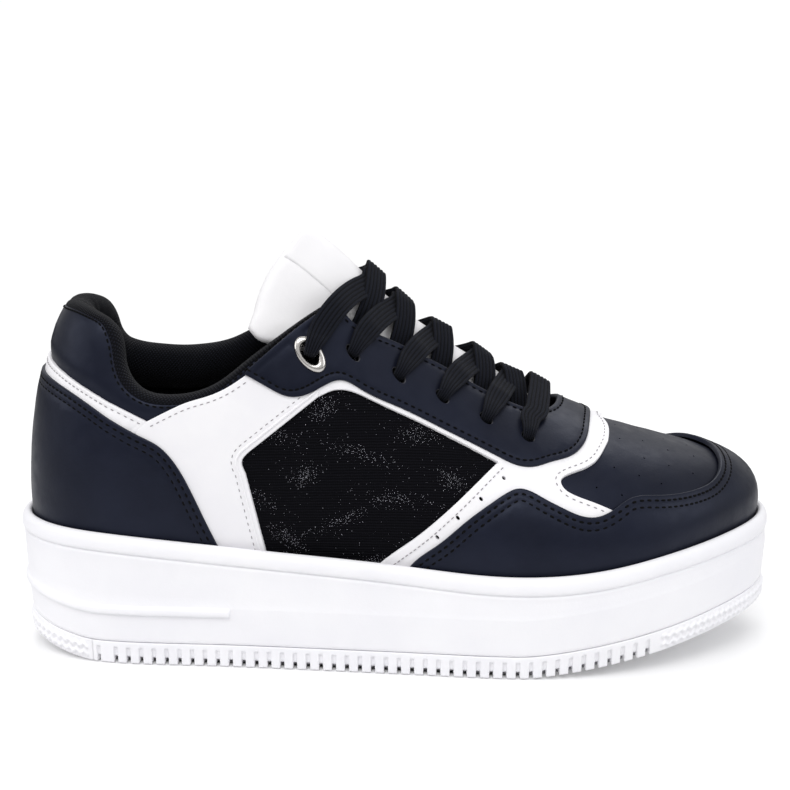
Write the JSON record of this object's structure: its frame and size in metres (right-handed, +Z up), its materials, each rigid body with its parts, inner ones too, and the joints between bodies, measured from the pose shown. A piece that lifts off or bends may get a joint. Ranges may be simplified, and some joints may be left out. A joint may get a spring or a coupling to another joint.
{
  "type": "platform sneaker",
  "caption": "Low-top platform court sneaker, right foot: thick flat sole, panelled upper, padded collar and tongue, flat laces in punched holes.",
  "frame": {"origin": "on the ground, under the middle of the sole outline along the shoe, on the heel centre line", "axes": "+X towards the toe, +Y towards the inner (medial) side of this right shoe, +Z up"},
  "size_m": [0.2799, 0.1036, 0.1553],
  "materials": {
    "outsole_rubber": "matte white rubber",
    "sole_wall": "satin white rubber sidewall",
    "midsole_foam": "white foam, hidden",
    "insole_board": "pressed fibre board, hidden",
    "sockliner_foam": "dark foam",
    "sockliner_cover": "black knit cover",
    "heel_counter": "stiff sheet, hidden",
    "toe_puff": "stiff sheet, hidden",
    "vamp_lining": "black mesh",
    "quarter_lining": "black mesh",
    "collar_foam": "grey foam, hidden",
    "collar_lining": "black mesh",
    "black_leather": "satin black synthetic leather",
    "white_leather": "satin white synthetic leather",
    "glitter_textile_lateral": "black knit with silver glitter",
    "glitter_textile_medial": "black knit with silver glitter",
    "tongue_leather": "satin white synthetic leather",
    "tongue_label": "satin white, blank",
    "tongue_foam": "white foam, hidden",
    "tongue_lining": "black mesh",
    "lace_weave": "flat black woven lace",
    "lace_tip_plastic": "black sleeve",
    "eyelet_metal": "polished silver"
  },
  "bodies": {
    "shoe": {"outsole": "outsole_rubber", "cupsole": "sole_wall", "midsole_foam": "midsole_foam", "insole_board": "insole_board", "heel_counter": "heel_counter", "toe_puff": "toe_puff", "vamp_lining": "vamp_lining", "quarter_lining": "quarter_lining", "collar_foam": "collar_foam", "collar_lining": "collar_lining", "collar_panel": "black_leather", "heel_overlay": "black_leather", "vamp": "black_leather", "toe_guard": "black_leather", "eyestay": "black_leather", "heel_stripe": "white_leather", "white_quarter_lateral": "white_leather", "white_quarter_medial": "white_leather", "white_saddle": "white_leather", "glitter_panel_lateral": "glitter_textile_lateral", "glitter_panel_medial": "glitter_textile_medial", "lace": "lace_weave", "lace_tip_lateral": "lace_tip_plastic", "lace_tip_medial": "lace_tip_plastic", "eyelet_ring_lateral": "eyelet_metal", "eyelet_ring_medial": "eyelet_metal"},
    "tongue": {"tongue_outer": "tongue_leather", "tongue_foam": "tongue_foam", "tongue_lining": "tongue_lining", "tongue_label": "tongue_label"},
    "sockliner": {"sockliner_foam": "sockliner_foam", "sockliner_cover": "sockliner_cover"}
  },
  "joints": [
    {"name": "tongue_fold", "type": "hinge", "parent": "shoe", "child": "tongue", "pos_m": [0.06, 0.006, 0.082], "axis": [0, 1, 0], "range_deg": [-8, 0]},
    {"name": "sockliner_lift", "type": "hinge", "parent": "shoe", "child": "sockliner", "pos_m": [0.128, 0.006, 0.041], "axis": [0, 1, 0], "range_deg": [0, 6]}
  ]
}
